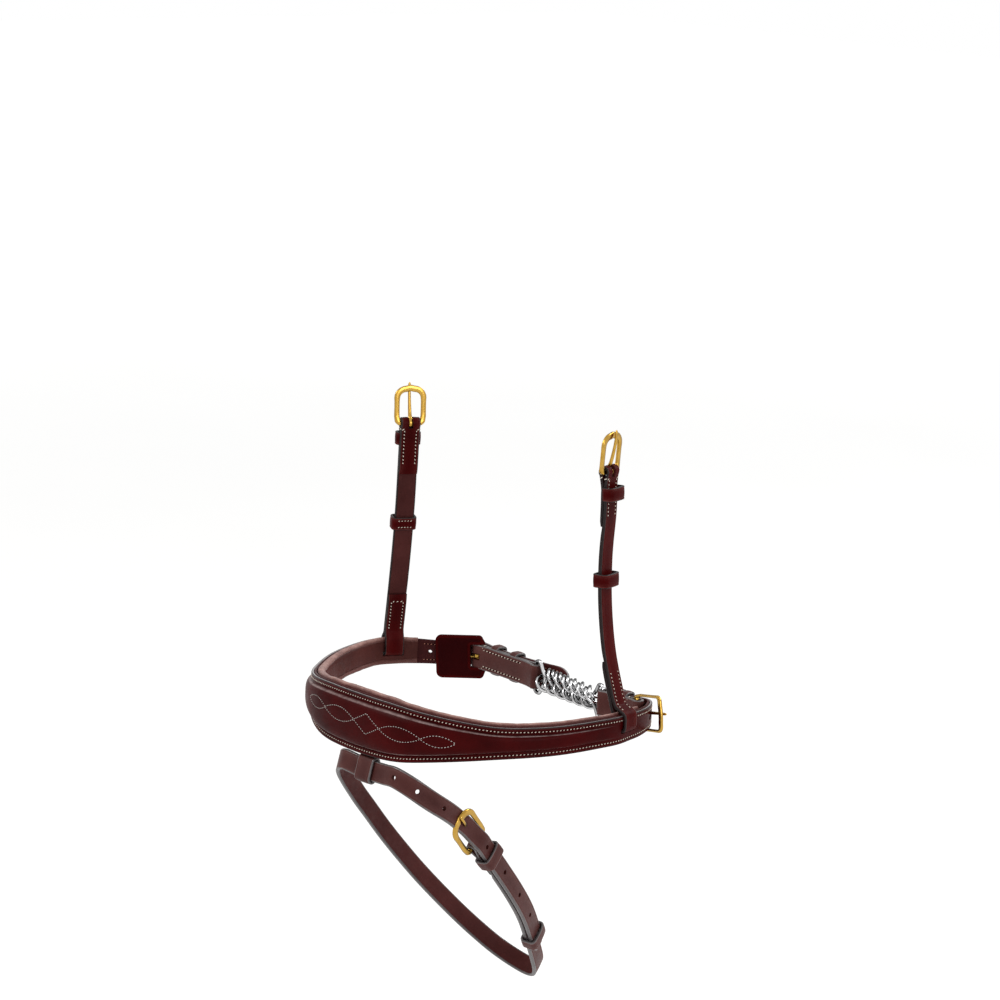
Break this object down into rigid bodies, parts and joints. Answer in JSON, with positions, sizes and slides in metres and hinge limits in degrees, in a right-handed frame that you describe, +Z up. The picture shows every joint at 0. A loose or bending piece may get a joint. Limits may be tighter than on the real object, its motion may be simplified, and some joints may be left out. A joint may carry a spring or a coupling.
{
  "type": "noseband",
  "caption": "Padded leather noseband with two buckled hanger straps, a flash strap below and a twisted chin chain between buckled chin straps.",
  "frame": {"origin": "middle of the loop that goes round the horse's nose, halfway up the noseband", "axes": "+Z up along the hanger straps, -Y towards the horse's muzzle, +X to the horse's left (near) side"},
  "size_m": [0.2316, 0.177, 0.3858],
  "materials": {
    "face_leather": "satin",
    "strap_leather": "satin",
    "backing_leather": "satin",
    "padding_leather": "matte",
    "brass": "polished",
    "chrome": "polished"
  },
  "bodies": {
    "band": {"noseband_face": "face_leather", "noseband_backing": "backing_leather", "noseband_padding": "padding_leather", "flash_loop_tab": "strap_leather", "left_hanger_loop": "strap_leather", "right_hanger_loop": "strap_leather", "left_chin_strap": "strap_leather", "left_chin_buckle_frame": "brass", "left_chin_buckle_prong": "brass", "left_chin_fixed_keeper": "strap_leather", "right_chin_strap": "strap_leather", "right_chin_buckle_frame": "brass", "right_chin_buckle_prong": "brass", "right_chin_fixed_keeper": "strap_leather", "guard_pad": "backing_leather"},
    "left_hanger": {"left_hanger_strap": "strap_leather", "left_hanger_fixed_keeper": "strap_leather"},
    "left_hanger_buckle": {"left_hanger_buckle_frame": "brass"},
    "left_hanger_prong": {"left_hanger_buckle_prong": "brass"},
    "left_hanger_slider": {"left_hanger_sliding_keeper": "strap_leather"},
    "right_hanger": {"right_hanger_strap": "strap_leather", "right_hanger_fixed_keeper": "strap_leather"},
    "right_hanger_buckle": {"right_hanger_buckle_frame": "brass"},
    "right_hanger_prong": {"right_hanger_buckle_prong": "brass"},
    "right_hanger_slider": {"right_hanger_sliding_keeper": "strap_leather"},
    "left_chin_slider": {"left_chin_sliding_keeper": "strap_leather"},
    "right_chin_slider": {"right_chin_sliding_keeper": "strap_leather"},
    "flash": {"flash_loop": "strap_leather", "flash_strap": "strap_leather", "flash_buckle_frame": "brass", "flash_buckle_prong": "brass", "flash_fixed_keeper": "strap_leather"},
    "flash_slider": {"flash_sliding_keeper": "strap_leather"},
    "near_end_ring": {"near_end_ring": "chrome"},
    "ring_pair_1": {"chain_ring_1a": "chrome", "chain_ring_1b": "chrome"},
    "ring_pair_2": {"chain_ring_2a": "chrome", "chain_ring_2b": "chrome"},
    "ring_pair_3": {"chain_ring_3a": "chrome", "chain_ring_3b": "chrome"},
    "ring_pair_4": {"chain_ring_4a": "chrome", "chain_ring_4b": "chrome"},
    "ring_pair_5": {"chain_ring_5a": "chrome", "chain_ring_5b": "chrome"},
    "ring_pair_6": {"chain_ring_6a": "chrome", "chain_ring_6b": "chrome"},
    "off_end_ring": {"off_end_ring": "chrome"}
  },
  "joints": [
    {"name": "left_hanger_swing", "type": "hinge", "parent": "band", "child": "left_hanger", "pos_m": [0.10802, -0.00346, 0.0157], "axis": [-0.2115, 0.9774, 0], "range_deg": [-20, 20]},
    {"name": "left_hanger_buckle_tilt", "type": "hinge", "parent": "left_hanger", "child": "left_hanger_buckle", "pos_m": [0.08945, -0.00748, 0.159], "axis": [-0.2115, 0.9774, 0], "range_deg": [-35, 35]},
    {"name": "left_hanger_prong_lift", "type": "hinge", "parent": "left_hanger_buckle", "child": "left_hanger_prong", "pos_m": [0.08945, -0.00748, 0.159], "axis": [-0.2115, 0.9774, 0], "range_deg": [0, 90]},
    {"name": "left_hanger_keeper_slide", "type": "slide", "parent": "left_hanger", "child": "left_hanger_slider", "axis": [-0.1403, -0.0304, 0.9896], "range_m": [-0.02, 0.02]},
    {"name": "right_hanger_swing", "type": "hinge", "parent": "band", "child": "right_hanger", "pos_m": [-0.10573, -0.00429, 0.0157], "axis": [-0.4409, -0.8976, 0], "range_deg": [-20, 20]},
    {"name": "right_hanger_buckle_tilt", "type": "hinge", "parent": "right_hanger", "child": "right_hanger_buckle", "pos_m": [-0.08868, -0.01266, 0.159], "axis": [-0.4409, -0.8976, 0], "range_deg": [-35, 35]},
    {"name": "right_hanger_prong_lift", "type": "hinge", "parent": "right_hanger_buckle", "child": "right_hanger_prong", "pos_m": [-0.08868, -0.01266, 0.159], "axis": [-0.4409, -0.8976, 0], "range_deg": [0, 90]},
    {"name": "right_hanger_keeper_slide", "type": "slide", "parent": "right_hanger", "child": "right_hanger_slider", "axis": [0.1288, -0.0633, 0.9896], "range_m": [-0.02, 0.02]},
    {"name": "left_chin_keeper_slide", "type": "slide", "parent": "band", "child": "left_chin_slider", "axis": [-0.996, -0.0889, 0], "range_m": [-0.0007, 0.0013]},
    {"name": "right_chin_keeper_slide", "type": "slide", "parent": "band", "child": "right_chin_slider", "axis": [0.9987, -0.0508, 0], "range_m": [-0.01, 0.003]},
    {"name": "flash_swing", "type": "hinge", "parent": "band", "child": "flash", "pos_m": [0.008, -0.1222, -0.0266], "axis": [1, 0, 0], "range_deg": [-45, 15]},
    {"name": "flash_keeper_slide", "type": "slide", "parent": "flash", "child": "flash_slider", "axis": [-0.3423, 0.5862, -0.7343], "range_m": [-0.004, 0.004]},
    {"name": "near_end_ring_swing", "type": "hinge", "parent": "band", "child": "near_end_ring", "pos_m": [0.062, 0.0265, 0], "axis": [0, 0, 1], "range_deg": [-2, 11]},
    {"name": "ring_pair_1_swing", "type": "hinge", "parent": "near_end_ring", "child": "ring_pair_1", "pos_m": [0.05206, 0.02756, 0], "axis": [0, 0, 1], "range_deg": [-4, 2]},
    {"name": "ring_pair_2_swing", "type": "hinge", "parent": "ring_pair_1", "child": "ring_pair_2", "pos_m": [0.04498, 0.02832, 0], "axis": [0, 0, 1], "range_deg": [-4, 2]},
    {"name": "ring_pair_3_swing", "type": "hinge", "parent": "ring_pair_2", "child": "ring_pair_3", "pos_m": [0.03599, 0.02929, 0], "axis": [0, 0, 1], "range_deg": [-4, 2]},
    {"name": "ring_pair_4_swing", "type": "hinge", "parent": "ring_pair_3", "child": "ring_pair_4", "pos_m": [0.027, 0.03025, 0], "axis": [0, 0, 1], "range_deg": [-4, 2]},
    {"name": "ring_pair_5_swing", "type": "hinge", "parent": "ring_pair_4", "child": "ring_pair_5", "pos_m": [0.01801, 0.03121, 0], "axis": [0, 0, 1], "range_deg": [-4, 2]},
    {"name": "ring_pair_6_swing", "type": "hinge", "parent": "ring_pair_5", "child": "ring_pair_6", "pos_m": [0.00902, 0.03218, 0], "axis": [0, 0, 1], "range_deg": [-4, 2]},
    {"name": "off_end_ring_swing", "type": "hinge", "parent": "ring_pair_6", "child": "off_end_ring", "pos_m": [0.00194, 0.03293, 0], "axis": [0, 0, 1], "range_deg": [-4, 2]}
  ],
  "couplings": [
    {"joint": "ring_pair_1_swing", "follows": "near_end_ring_swing", "ratio": -0.28571},
    {"joint": "ring_pair_2_swing", "follows": "near_end_ring_swing", "ratio": -0.28571},
    {"joint": "ring_pair_3_swing", "follows": "near_end_ring_swing", "ratio": -0.28571},
    {"joint": "ring_pair_4_swing", "follows": "near_end_ring_swing", "ratio": -0.28571},
    {"joint": "ring_pair_5_swing", "follows": "near_end_ring_swing", "ratio": -0.28571},
    {"joint": "ring_pair_6_swing", "follows": "near_end_ring_swing", "ratio": -0.28571},
    {"joint": "off_end_ring_swing", "follows": "near_end_ring_swing", "ratio": -0.28571}
  ]
}
